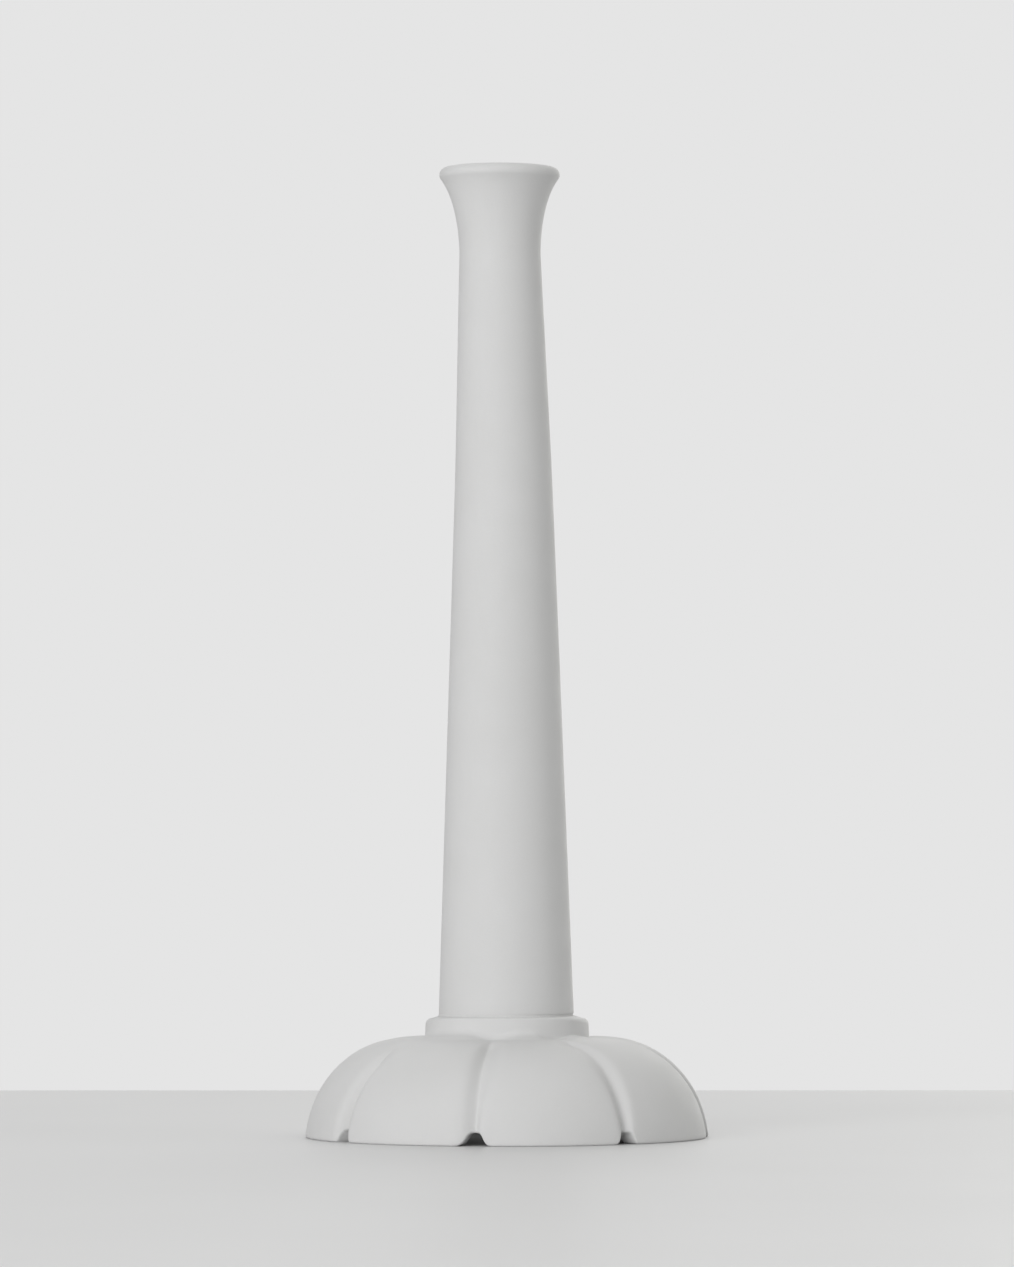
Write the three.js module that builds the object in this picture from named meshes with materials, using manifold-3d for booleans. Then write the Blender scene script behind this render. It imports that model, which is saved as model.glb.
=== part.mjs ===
// Bud vase of matt white porcelain: a tall tapered stem with a flared mouth, on a collar ring,
// on a hollow foot of eight lobes that is open beneath.
// Millimetres, +Z up. The origin is on the axis, in the plane that the vase stands on,
// and the middle of one lobe faces -Y.

import * as THREE from 'three';
import { mergeVertices } from 'three/addons/utils/BufferGeometryUtils.js';
import Module from 'manifold-3d';

// Overall sizes
const VASE_HEIGHT = 250;
const RIM_RADIUS = 52.05;
const FOOT_HEIGHT = 25.55;
const COLLAR_HEIGHT = 5.6;
const CLEARANCE = 0.3;

// Stem
const STEM_FOOT_RADIUS = 17.37;
const STEM_EDGE_ROUND = 0.3;
const STEM_WALL = 3.2;
const NECK_RADIUS = 10.5;
const FLARE_RISE = 22;
const FLARE_SPREAD = 8.65;
const FLARE_END = THREE.MathUtils.degToRad(62.7);
const LIP_RADIUS = 1.85;

// Floor plug that closes the stem, with the spigot that centres it in the collar
const PLUG_RADIUS = 15;
const PLUG_THICKNESS = 4;
const PLUG_SPIGOT_RADIUS = 11;
const PLUG_SPIGOT_LENGTH = 7;

// Collar ring
const COLLAR_SIDE_RADIUS = 21.15;
const COLLAR_BATTER = 0.15;
const COLLAR_COVE = 0.6;
const COLLAR_SHOULDER = 1.6;
const COLLAR_TOP_FALL = 0.65;
const COLLAR_SPIGOT_RADIUS = 15;
const BED_RECESS_RADIUS = 19.6;

// Beds of joint compound
const BED_THICKNESS = 0.4;
const BED_SETBACK = 0.1;

// Foot: the dome is flat from the collar out to its shoulder, and falls from there to the rim
// along an ellipse whose centre lies below the rim
const LOBES = 8;
const DOME_SHOULDER_RADIUS = 25.7;
const DOME_CENTRE_DROP = 2.9;
const FOOT_WALL = 4.5;
const RIM_EDGE_ROUND = 0.6;
const LAND_MARGIN = 0.1;
const LAND_STEP = 0.35;
const LOBE_SAG = 0.4;

// Grooves between the lobes, from the collar down to the rim
const GROOVE_DEPTH_TOP = 0.9;
const GROOVE_DEPTH_RIM = 2.1;
const GROOVE_WIDTH_TOP = 2.5;
const GROOVE_WIDTH_RIM = 1.7;
const GROOVE_SHAPE = 1.7;
const INNER_GROOVE_WIDENING = 2.2;

// Arched notch where each groove meets the rim
const NOTCH_FOOT_HALF_WIDTH = 3.3;
const NOTCH_NECK_HALF_WIDTH = 1.95;
const NOTCH_NECK_HEIGHT = 2;
const NOTCH_CROWN = 1.25;
const NOTCH_OVERRUN = 2;

// Fineness of the facets
const TURNED_STEPS = 48;
const HALF_LOBE_STEPS = 8;
const DOME_STEPS = 9;
const INNER_DOME_STEPS = 6;
const FLARE_STEPS = 7;
const OUTER_LIP_STEPS = 6;
const INNER_LIP_STEPS = 3;
const EDGE_STEPS = 2;
const SHOULDER_STEPS = 4;
const ARCH_STEPS = 8;

// Heights and radii that follow from the sizes above
const COLLAR_TOP = FOOT_HEIGHT + COLLAR_HEIGHT;
const STEM_BOTTOM = COLLAR_TOP + BED_THICKNESS;
const STEM_FLOOR = STEM_BOTTOM + PLUG_THICKNESS;
const PLUG_RECESS_RADIUS = PLUG_RADIUS + CLEARANCE;
const COLLAR_BORE_RADIUS = PLUG_SPIGOT_RADIUS + CLEARANCE;
const COLLAR_FOOT_RADIUS = COLLAR_SIDE_RADIUS + COLLAR_COVE;
const CROWN_BORE_RADIUS = COLLAR_SPIGOT_RADIUS + CLEARANCE;
const CROWN_UNDERSIDE = FOOT_HEIGHT - FOOT_WALL;
const LAND_RADIUS = COLLAR_FOOT_RADIUS + LAND_MARGIN;

const { sin, cos, acos, sqrt, sign, abs, hypot, PI } = Math;
const point = (radius, height) => new THREE.Vector2(radius, height);

// A row of whole numbers from 0 to the given one
const upTo = (last) => Array.from({ length: last + 1 }, (_, index) => index);

const blend = (start, end, share) => start + (end - start) * share;

// Points of a round corner in the plane of a profile, angles from the +radius direction
function cornerArc(centreRadius, centreHeight, radius, from, to, steps) {
  return upTo(steps).map((index) => {
    const angle = blend(from, to, index / steps);
    return point(centreRadius + radius * cos(angle), centreHeight + radius * sin(angle));
  });
}

// A ring or a disc, turned about +Z. The profile runs upwards on its outer side.
function turned(profile) {
  return new THREE.LatheGeometry(profile, TURNED_STEPS).rotateX(PI / 2);
}

// A plain ring between two radii and two heights
function flatRing(innerRadius, outerRadius, bottom, top) {
  const corners = [
    point(innerRadius, bottom),
    point(outerRadius, bottom),
    point(outerRadius, top),
    point(innerRadius, top),
  ];
  return turned([...corners, corners[0]]);
}

// The flare is a quarter ellipse that leaves the neck upright and is cut off where the lip begins.
// This is a point on it, pushed inwards along its normal.
function flarePoint(neckHeight, angle, inwards) {
  const normal = new THREE.Vector2(FLARE_RISE * cos(angle), -FLARE_SPREAD * sin(angle)).normalize();
  const outer = point(NECK_RADIUS + FLARE_SPREAD * (1 - cos(angle)), neckHeight + FLARE_RISE * sin(angle));
  return outer.addScaledVector(normal, -inwards);
}

// The stem is a tube whose bore follows its taper. Its half-round lip is tangent to the flare,
// and its wall swells over the flare to the thickness of the lip.
function stemGeometry() {
  const lipAngle = -Math.atan2(FLARE_SPREAD * sin(FLARE_END), FLARE_RISE * cos(FLARE_END));
  const neckHeight = VASE_HEIGHT - LIP_RADIUS * (1 - sin(lipAngle)) - FLARE_RISE * sin(FLARE_END);
  const lipCentre = flarePoint(neckHeight, FLARE_END, LIP_RADIUS);
  const taperShare = (height) => (height - STEM_BOTTOM) / (neckHeight - STEM_BOTTOM);
  const outerRadius = (height) => blend(STEM_FOOT_RADIUS, NECK_RADIUS, taperShare(height));

  const footEdge = cornerArc(
    STEM_FOOT_RADIUS - STEM_EDGE_ROUND,
    STEM_BOTTOM + STEM_EDGE_ROUND,
    STEM_EDGE_ROUND,
    -PI / 2,
    0,
    EDGE_STEPS,
  );
  const flare = upTo(FLARE_STEPS).map((index) => (
    flarePoint(neckHeight, FLARE_END * index / FLARE_STEPS, 0)
  ));
  const lipArc = (from, to, steps) => cornerArc(lipCentre.x, lipCentre.y, LIP_RADIUS, from, to, steps);
  const innerFlare = upTo(FLARE_STEPS).reverse().map((index) => {
    const share = index / FLARE_STEPS;
    return flarePoint(neckHeight, FLARE_END * share, blend(STEM_WALL, 2 * LIP_RADIUS, share));
  });
  const plugRecess = [
    point(outerRadius(STEM_FLOOR) - STEM_WALL, STEM_FLOOR),
    point(PLUG_RECESS_RADIUS, STEM_FLOOR),
    point(PLUG_RECESS_RADIUS, STEM_BOTTOM),
  ];
  return turned([
    ...footEdge,
    ...flare,
    ...lipArc(lipAngle, PI / 2, OUTER_LIP_STEPS).slice(1),
    ...lipArc(PI / 2, lipAngle + PI, INNER_LIP_STEPS).slice(1, -1),
    ...innerFlare,
    ...plugRecess,
    footEdge[0],
  ]);
}

// The plug fills the recess in the bottom of the stem, up to its ledge
function stemFloorGeometry() {
  const spigotEnd = STEM_BOTTOM - PLUG_SPIGOT_LENGTH;
  return turned([
    point(0, spigotEnd),
    point(PLUG_SPIGOT_RADIUS, spigotEnd),
    point(PLUG_SPIGOT_RADIUS, STEM_BOTTOM),
    point(PLUG_RADIUS, STEM_BOTTOM),
    point(PLUG_RADIUS, STEM_FLOOR),
    point(0, STEM_FLOOR),
  ]);
}

// The collar stands on the crown of the foot on its outer edge, over the recess that holds the
// lower bed, and its spigot fills the hole in the crown. A cove runs round the foot of its side.
function collarGeometry() {
  const recessRoof = FOOT_HEIGHT + BED_THICKNESS;
  const cove = cornerArc(
    COLLAR_FOOT_RADIUS,
    FOOT_HEIGHT + COLLAR_COVE,
    COLLAR_COVE,
    -PI / 2,
    -PI,
    EDGE_STEPS,
  );
  const shoulder = cornerArc(
    COLLAR_SIDE_RADIUS - COLLAR_BATTER - COLLAR_SHOULDER,
    COLLAR_TOP - COLLAR_TOP_FALL - COLLAR_SHOULDER,
    COLLAR_SHOULDER,
    0,
    PI / 2,
    SHOULDER_STEPS,
  );
  const boreFoot = point(COLLAR_BORE_RADIUS, CROWN_UNDERSIDE);
  return turned([
    boreFoot,
    point(COLLAR_SPIGOT_RADIUS, CROWN_UNDERSIDE),
    point(COLLAR_SPIGOT_RADIUS, recessRoof),
    point(BED_RECESS_RADIUS, recessRoof),
    point(BED_RECESS_RADIUS, FOOT_HEIGHT),
    ...cove,
    ...shoulder,
    point(STEM_FOOT_RADIUS, COLLAR_TOP),
    point(COLLAR_BORE_RADIUS, COLLAR_TOP),
    boreFoot,
  ]);
}

// The two skins of the foot differ in how deep they lie under the dome and how wide their
// grooves are
const OUTER_SKIN = { depth: 0, grooveWidening: 0, steps: DOME_STEPS, endHeight: RIM_EDGE_ROUND };
const INNER_SKIN = {
  depth: FOOT_WALL,
  grooveWidening: INNER_GROOVE_WIDENING,
  steps: INNER_DOME_STEPS,
  endHeight: 0,
};

// How far the lobed skin lies under the round dome. Fall is 0 at the top of the dome and 1 where
// it would be upright, and offset is the angle from the middle of the nearest groove.
function skinSink(radius, offset, fall, skin) {
  const width = blend(GROOVE_WIDTH_TOP, GROOVE_WIDTH_RIM, fall) + skin.grooveWidening;
  const depth = blend(GROOVE_DEPTH_TOP, GROOVE_DEPTH_RIM, fall);
  const groove = depth * Math.exp(-((radius * abs(offset) / width) ** GROOVE_SHAPE));
  const sag = LOBE_SAG * fall * (1 - abs(offset) * LOBES / PI) ** 2;
  return groove + sag;
}

// Points down one meridian of a skin, from the shoulder of the dome to the given end height
function skinMeridian(offset, skin) {
  const rise = FOOT_HEIGHT + DOME_CENTRE_DROP;
  const spread = (RIM_RADIUS - DOME_SHOULDER_RADIUS) / sqrt(1 - (DOME_CENTRE_DROP / rise) ** 2);
  const skinRise = rise - skin.depth;
  const skinSpread = spread - skin.depth;
  const end = acos((DOME_CENTRE_DROP + skin.endHeight) / skinRise);
  return upTo(skin.steps).map((index) => {
    const angle = end * index / skin.steps;
    const radius = DOME_SHOULDER_RADIUS + skinSpread * sin(angle);
    const sink = skinSink(radius, offset, sin(angle), skin);
    const length = hypot(sin(angle) / skinSpread, cos(angle) / skinRise);
    const sunkRadius = radius - sink * sin(angle) / skinSpread / length;
    const sunkHeight = skinRise * cos(angle) - DOME_CENTRE_DROP - sink * cos(angle) / skinRise / length;
    return point(sunkRadius, index < skin.steps ? sunkHeight : skin.endHeight);
  });
}

// Closed outline of the foot in one upright half plane, from the crown hole over the outer skin,
// round the rim and back along the inner skin
function footOutline(offset) {
  const outer = skinMeridian(offset, OUTER_SKIN);
  const inner = skinMeridian(offset, INNER_SKIN);
  const rim = outer.at(-1);
  const rimEdge = cornerArc(
    rim.x - RIM_EDGE_ROUND,
    RIM_EDGE_ROUND,
    RIM_EDGE_ROUND,
    0,
    -PI / 2,
    EDGE_STEPS,
  );
  const stepRadius = LAND_RADIUS + LAND_STEP;
  return [
    point(CROWN_BORE_RADIUS, CROWN_UNDERSIDE),
    point(CROWN_BORE_RADIUS, FOOT_HEIGHT),
    point(LAND_RADIUS, FOOT_HEIGHT),
    point(stepRadius, FOOT_HEIGHT - skinSink(stepRadius, offset, 0, OUTER_SKIN)),
    ...outer,
    ...rimEdge.slice(1),
    ...inner.reverse(),
  ];
}

// Angles from the middle of a groove to the middles of its two lobes, closest together in the groove
function grooveOffsets() {
  const halfPitch = PI / LOBES;
  return upTo(2 * HALF_LOBE_STEPS - 1).map((index) => {
    const step = index / HALF_LOBE_STEPS - 1;
    return sign(step) * step * step * halfPitch;
  });
}

// The foot before its notches are cut: the outlines stand round the axis and are joined by
// facets into one closed skin
function lobedShellGeometry() {
  const pitch = 2 * PI / LOBES;
  const positions = [];
  const outlines = upTo(LOBES - 1).flatMap((lobe) => grooveOffsets().map((offset) => {
    const angle = (lobe + 0.5) * pitch + offset;
    footOutline(offset).forEach(({ x, y }) => positions.push(x * sin(angle), -x * cos(angle), y));
    return angle;
  }));
  const ringLength = positions.length / 3 / outlines.length;
  const faces = outlines.flatMap((_, outline) => upTo(ringLength - 1).flatMap((corner) => {
    const next = (corner + 1) % ringLength;
    const here = outline * ringLength;
    const there = ((outline + 1) % outlines.length) * ringLength;
    return [
      here + corner, here + next, there + next,
      here + corner, there + next, there + corner,
    ];
  }));
  const geometry = new THREE.BufferGeometry();
  geometry.setAttribute('position', new THREE.Float32BufferAttribute(positions, 3));
  return geometry.setIndex(faces);
}

// A bar through the rim along one groove, with the section of the notch: splayed at its foot,
// narrower at its neck and arched above. It runs on a little way below the rim.
function notchGeometry(groove) {
  const section = new THREE.Shape();
  section.moveTo(-NOTCH_FOOT_HALF_WIDTH, -NOTCH_OVERRUN);
  section.lineTo(NOTCH_FOOT_HALF_WIDTH, -NOTCH_OVERRUN);
  section.lineTo(NOTCH_FOOT_HALF_WIDTH, 0);
  section.lineTo(NOTCH_NECK_HALF_WIDTH, NOTCH_NECK_HEIGHT);
  section.absellipse(0, NOTCH_NECK_HEIGHT, NOTCH_NECK_HALF_WIDTH, NOTCH_CROWN, 0, PI, false);
  section.lineTo(-NOTCH_FOOT_HALF_WIDTH, 0);
  const bar = new THREE.ExtrudeGeometry(section, {
    depth: RIM_RADIUS - DOME_SHOULDER_RADIUS + FOOT_WALL,
    bevelEnabled: false,
    curveSegments: ARCH_STEPS,
  });
  return bar
    .rotateX(PI / 2)
    .translate(0, -DOME_SHOULDER_RADIUS, 0)
    .rotateZ((groove + 0.5) * 2 * PI / LOBES);
}

const wasm = await Module();
wasm.setup();

// A closed mesh with its shared vertices merged, as a solid that can be cut
function toSolid(geometry) {
  const bare = geometry.clone();
  bare.deleteAttribute('normal');
  bare.deleteAttribute('uv');
  const merged = mergeVertices(bare);
  return new wasm.Manifold(new wasm.Mesh({
    numProp: 3,
    vertProperties: merged.getAttribute('position').array,
    triVerts: Uint32Array.from(merged.getIndex().array),
  }));
}

function toGeometry(solid) {
  const { vertProperties, triVerts } = solid.getMesh();
  const geometry = new THREE.BufferGeometry();
  geometry.setAttribute('position', new THREE.BufferAttribute(vertProperties, 3));
  geometry.setIndex(new THREE.BufferAttribute(triVerts, 1));
  geometry.computeVertexNormals();
  return geometry;
}

function footGeometry() {
  const shell = toSolid(lobedShellGeometry());
  const notches = upTo(LOBES - 1).map((groove) => toSolid(notchGeometry(groove)));
  return toGeometry(notches.reduce((rest, notch) => rest.subtract(notch), shell));
}

// Unglazed white porcelain, and the greyer compound in the joints
const porcelain = () => new THREE.MeshStandardMaterial({ color: 0xd6d6d3, roughness: 0.9, metalness: 0 });
const compound = () => new THREE.MeshStandardMaterial({ color: 0x9c9a95, roughness: 1, metalness: 0 });

const vase = new THREE.Group();

function addPiece(name, geometry, material) {
  const piece = new THREE.Mesh(geometry, material);
  piece.name = name;
  vase.add(piece);
}

addPiece('stem', stemGeometry(), porcelain());
addPiece('stem_floor', stemFloorGeometry(), porcelain());
addPiece('collar', collarGeometry(), porcelain());
addPiece('foot', footGeometry(), porcelain());
addPiece(
  'stem_joint_bed',
  flatRing(
    COLLAR_BORE_RADIUS,
    STEM_FOOT_RADIUS - STEM_EDGE_ROUND - BED_SETBACK,
    COLLAR_TOP,
    STEM_BOTTOM,
  ),
  compound(),
);
addPiece(
  'collar_joint_bed',
  flatRing(
    CROWN_BORE_RADIUS,
    BED_RECESS_RADIUS - CLEARANCE,
    FOOT_HEIGHT,
    FOOT_HEIGHT + BED_THICKNESS,
  ),
  compound(),
);

export default vase;
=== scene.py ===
"""Looks of a matt white porcelain bud vase, dressed on its packed construction model.

The pieces are modelled in millimetres about the axis of the vase, with the middle of one lobe of
the foot towards -Y, and each mesh is brought to metres when it is handed over.
"""

import logging
import math
from collections.abc import Callable, Iterable, Sequence
from dataclasses import dataclass
from enum import Enum

import bmesh
import bpy
from mathutils import Matrix, Vector

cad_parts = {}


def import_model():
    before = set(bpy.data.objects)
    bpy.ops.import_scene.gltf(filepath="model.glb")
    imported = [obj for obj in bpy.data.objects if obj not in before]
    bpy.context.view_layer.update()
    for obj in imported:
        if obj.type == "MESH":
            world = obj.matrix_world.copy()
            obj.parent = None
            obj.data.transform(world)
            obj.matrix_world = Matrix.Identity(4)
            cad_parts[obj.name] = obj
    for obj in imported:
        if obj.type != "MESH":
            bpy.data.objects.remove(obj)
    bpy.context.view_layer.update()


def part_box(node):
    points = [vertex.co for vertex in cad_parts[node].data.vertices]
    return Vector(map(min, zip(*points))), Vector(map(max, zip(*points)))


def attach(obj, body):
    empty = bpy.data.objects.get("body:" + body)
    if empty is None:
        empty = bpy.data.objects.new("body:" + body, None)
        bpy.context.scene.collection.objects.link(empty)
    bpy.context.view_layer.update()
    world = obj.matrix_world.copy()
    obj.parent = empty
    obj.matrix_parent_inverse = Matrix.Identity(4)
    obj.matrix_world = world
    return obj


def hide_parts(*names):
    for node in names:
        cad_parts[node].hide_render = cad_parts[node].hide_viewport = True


LOG = logging.getLogger("bud_vase")
MM = 0.001
BODY = "root"
RIGHT_ANGLE = math.pi / 2
SECTORS = 16  # how many alike sectors a turned mesh is put together from
SEAM_GAP = 1e-3  # how near two vertices lie that are joined at a seam, in millimetres
SHARP_ANGLE = math.radians(40)
NOISE_RANGE = (0.3, 0.7)  # where nearly all of a noise pattern lies
EDGE_STEPS = 4  # how many steps a small rounded edge has

Point = tuple[float, float]
Colour = tuple[float, float, float, float]
Socket = bpy.types.NodeSocket


class Slot(Enum):
    """The material slots of the record that the pieces take their finish from."""

    PORCELAIN = "porcelain"
    JOINT_COMPOUND = "joint_compound"


def grey(level: float, warmth: float = 0.0) -> Colour:
    """Gives a near-neutral linear colour. The warmth is how much of its level the blue lacks."""
    return (level, level, level * (1.0 - warmth), 1.0)


def blend(start: float, end: float, share: float) -> float:
    """Gives the value at a share of the way from start to end."""
    return start + (end - start) * share


def facing(angle: float, degrees: float) -> float:
    """Gives 1 at an angle that looks in a direction in degrees, and 0 from a right angle off it."""
    return ease(math.cos(angle - math.radians(degrees)))


def ease(share: float) -> float:
    """Gives a smooth step from 0 to 1, flat at both ends, for a share that may lie outside them."""
    held = min(1.0, max(0.0, share))
    return held * held * (3.0 - 2.0 * held)


def steps_between(start: Point, end: Point, count: int) -> list[Point]:
    """Gives the points of a straight line after its start.

    Args:
        start: Where the line starts.
        end: Where it ends.
        count: How many points it gets.

    Returns:
        The points, the last of them at the end.
    """
    return [
        (blend(start[0], end[0], index / count), blend(start[1], end[1], index / count))
        for index in range(1, count + 1)
    ]


def round_corner(centre: Point, radius: float, start: float, end: float, count: int) -> list[Point]:
    """Gives the points of an arc of a profile, both ends included. Angles are from outwards."""
    angles = [blend(start, end, index / count) for index in range(count + 1)]
    return [(centre[0] + radius * math.cos(a), centre[1] + radius * math.sin(a)) for a in angles]


def lower_edge(radius: float, bottom: float, rounding: float, count: int) -> list[Point]:
    """Gives the rounded lower edge of a round wall's outside, from its underside up."""
    centre = (radius - rounding, bottom + rounding)
    return round_corner(centre, rounding, -RIGHT_ANGLE, 0.0, count)


def hollow(corner: Point, width: float, height: float, count: int) -> list[Point]:
    """Gives the quarter ellipse of slip in a corner, from its toe up to the wall."""
    arc = round_corner((0.0, 0.0), 1.0, RIGHT_ANGLE, 0.0, count)
    return [(corner[0] + width * (1.0 - x), corner[1] + height * (1.0 - y)) for x, y in arc]


class Shading:
    """A material's node tree, with short calls for the nodes that the finishes use."""

    def __init__(self, name: str) -> None:
        """Makes a material with one shader, whose patterns follow the object's own coordinates.

        Args:
            name: The name of the material.
        """
        self.material = bpy.data.materials.new(name)
        self.material.use_nodes = True
        self.nodes = self.material.node_tree.nodes
        self.links = self.material.node_tree.links
        self.shader = self.nodes["Principled BSDF"]
        self.place = self.nodes.new("ShaderNodeTexCoord").outputs["Object"]

    def set(self, **values: float | Colour) -> None:
        """Sets sockets of the shader that are the same all over, named with underscores."""
        for name, value in values.items():
            self.shader.inputs[name.replace("_", " ")].default_value = value

    def noise(self, size_mm: float, detail: float = 2.0, roughness: float = 0.5) -> Socket:
        """Gives a noise pattern from 0 to 1.

        Args:
            size_mm: The size of its patches on the object.
            detail: How many finer octaves it holds.
            roughness: How strong those octaves are.

        Returns:
            The socket with the pattern.
        """
        node = self.nodes.new("ShaderNodeTexNoise")
        node.inputs["Scale"].default_value = 1.0 / (size_mm * MM)
        node.inputs["Detail"].default_value = detail
        node.inputs["Roughness"].default_value = roughness
        self.links.new(self.place, node.inputs["Vector"])
        return node.outputs["Fac"]

    def spread(self, pattern: Socket, low: float, high: float) -> Socket:
        """Maps the middle of a noise pattern to a range.

        Args:
            pattern: The socket with the noise.
            low: The start of the range.
            high: Its end.

        Returns:
            The socket with the values.
        """
        node = self.nodes.new("ShaderNodeMapRange")
        node.inputs["From Min"].default_value, node.inputs["From Max"].default_value = NOISE_RANGE
        node.inputs["To Min"].default_value = low
        node.inputs["To Max"].default_value = high
        self.links.new(pattern, node.inputs["Value"])
        return node.outputs["Result"]

    def sum(self, first: Socket, second: Socket) -> Socket:
        """Adds two patterns.

        Args:
            first: The socket with the one.
            second: The socket with the other.

        Returns:
            The socket with their sum.
        """
        node = self.nodes.new("ShaderNodeMath")
        node.operation = "ADD"
        self.links.new(first, node.inputs[0])
        self.links.new(second, node.inputs[1])
        return node.outputs["Value"]

    def between(self, share: Socket, first: Colour, second: Colour) -> Socket:
        """Mixes two colours by a share that varies over the surface.

        Args:
            share: The socket with the share of the second colour.
            first: The colour at a share of 0.
            second: The colour at a share of 1.

        Returns:
            The socket with the mix.
        """
        node = self.nodes.new("ShaderNodeMix")
        node.data_type = "RGBA"
        start, end = (socket for socket in node.inputs if socket.type == "RGBA")
        start.default_value, end.default_value = first, second
        self.links.new(share, node.inputs["Factor"])
        return next(socket for socket in node.outputs if socket.type == "RGBA")

    def bump(self, height: Socket, depth_mm: float) -> None:
        """Roughens the surface.

        Args:
            height: The socket with the pattern of heights.
            depth_mm: The depth that a height of 1 stands for.
        """
        node = self.nodes.new("ShaderNodeBump")
        node.inputs["Distance"].default_value = depth_mm * MM
        self.links.new(height, node.inputs["Height"])
        self.links.new(node.outputs["Normal"], self.shader.inputs["Normal"])

    def drive(self, socket: str, pattern: Socket) -> None:
        """Links a pattern to one of the shader's sockets."""
        self.links.new(pattern, self.shader.inputs[socket])


@dataclass(frozen=True)
class Porcelain:
    """Unglazed white porcelain, polished by hand: matt, dense, and very slightly cloudy."""

    name: str = "bisque_porcelain"
    body: Colour = grey(0.70, 0.001)
    cloud: Colour = grey(0.675, 0.006)
    cloud_size_mm: float = 22.0
    grain_size_mm: float = 0.55
    grain_share: float = 0.25
    tooth_size_mm: float = 0.35
    tooth_depth_mm: float = 0.012
    ripple_size_mm: float = 9.0
    ripple_depth_mm: float = 0.03
    roughness: tuple[float, float] = (0.62, 0.74)
    sheen_size_mm: float = 22.0 / 3.0
    gloss: float = 0.35

    def material(self) -> bpy.types.Material:
        """Builds the material.

        Returns:
            The material, ready for a mesh.
        """
        shading = Shading(self.name)
        shading.set(Specular_IOR_Level=self.gloss)
        clouds = shading.noise(self.cloud_size_mm, detail=3.0)
        clouds = shading.spread(clouds, 0.0, 1.0 - self.grain_share)
        grain = shading.spread(shading.noise(self.grain_size_mm), 0.0, self.grain_share)
        mottling = shading.sum(clouds, grain)
        shading.drive("Base Color", shading.between(mottling, self.body, self.cloud))
        low, high = self.roughness
        shading.drive("Roughness", shading.spread(shading.noise(self.sheen_size_mm), low, high))
        tooth = shading.noise(self.tooth_size_mm, detail=3.0, roughness=0.6)
        tooth = shading.spread(tooth, 0.0, 1.0)
        ripple_share = self.ripple_depth_mm / self.tooth_depth_mm
        ripple = shading.spread(shading.noise(self.ripple_size_mm, detail=1.0), 0.0, ripple_share)
        shading.bump(shading.sum(tooth, ripple), self.tooth_depth_mm)
        return shading.material


@dataclass(frozen=True)
class JointCompound:
    """The slip that was wiped into the joints, a touch greyer and coarser than the porcelain."""

    name: str = "joint_compound"
    pale: Colour = grey(0.70, 0.004)
    dark: Colour = grey(0.67, 0.008)
    grain_size_mm: float = 0.4
    grain_depth_mm: float = 0.04
    roughness: float = 0.95
    gloss: float = 0.2

    def material(self) -> bpy.types.Material:
        """Builds the material.

        Returns:
            The material, ready for a mesh.
        """
        shading = Shading(self.name)
        shading.set(Roughness=self.roughness, Specular_IOR_Level=self.gloss)
        grain = shading.noise(self.grain_size_mm, detail=4.0, roughness=0.65)
        grain = shading.spread(grain, 0.0, 1.0)
        shading.drive("Base Color", shading.between(grain, self.pale, self.dark))
        shading.bump(grain, self.grain_depth_mm)
        return shading.material


@dataclass(frozen=True)
class Tabletop:
    """The pale satin board that the vase stands on."""

    name: str = "tabletop"
    pale: Colour = grey(0.67)
    dark: Colour = grey(0.65)
    patch_size_mm: float = 160.0
    roughness: float = 0.4
    gloss: float = 0.5

    def material(self) -> bpy.types.Material:
        """Builds the material.

        Returns:
            The material, ready for a mesh.
        """
        shading = Shading(self.name)
        shading.set(Roughness=self.roughness, Specular_IOR_Level=self.gloss)
        patches = shading.spread(shading.noise(self.patch_size_mm), 0.0, 1.0)
        shading.drive("Base Color", shading.between(patches, self.pale, self.dark))
        return shading.material


@dataclass(frozen=True)
class Extent:
    """Where a node of the frame lies, in millimetres."""

    bottom: float
    top: float
    radius: float

    @classmethod
    def of(cls, node: str) -> "Extent":
        """Reads a node's extent from the frame."""
        low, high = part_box(node)
        return cls(low.z / MM, high.z / MM, (high.y - low.y) / 2.0 / MM)


def turned(profile: Sequence[Point], steps: int, closed: bool) -> bmesh.types.BMesh:
    """Turns a profile about the axis.

    Args:
        profile: Radii and heights in millimetres.
        steps: How many columns of faces go round.
        closed: Whether the profile is a ring, or starts and ends on the axis.

    Returns:
        The mesh in millimetres. Each vertex keeps its place in the profile in the layer "station".
    """
    mesh = bmesh.new()
    station = mesh.verts.layers.int.new("station")
    line = [mesh.verts.new((radius, 0.0, height)) for radius, height in profile]
    for index, vertex in enumerate(line):
        vertex[station] = index
    ends = line[1:] + line[:1] if closed else line[1:]
    edges = [mesh.edges.new(pair) for pair in zip(line, ends)]
    sector_angle = math.tau / SECTORS
    bmesh.ops.spin(
        mesh,
        geom=line + edges,
        cent=(0.0, 0.0, 0.0),
        axis=(0.0, 0.0, 1.0),
        angle=sector_angle,
        steps=steps // SECTORS,
    )
    sector = [*mesh.verts, *mesh.edges, *mesh.faces]
    for index in range(1, SECTORS):
        copied = bmesh.ops.duplicate(mesh, geom=sector)["geom"]
        bmesh.ops.rotate(
            mesh,
            verts=[item for item in copied if isinstance(item, bmesh.types.BMVert)],
            cent=(0.0, 0.0, 0.0),
            matrix=Matrix.Rotation(sector_angle * index, 3, "Z"),
        )
    bmesh.ops.remove_doubles(mesh, verts=mesh.verts, dist=SEAM_GAP)
    bmesh.ops.recalc_face_normals(mesh, faces=mesh.faces)
    return mesh


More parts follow.
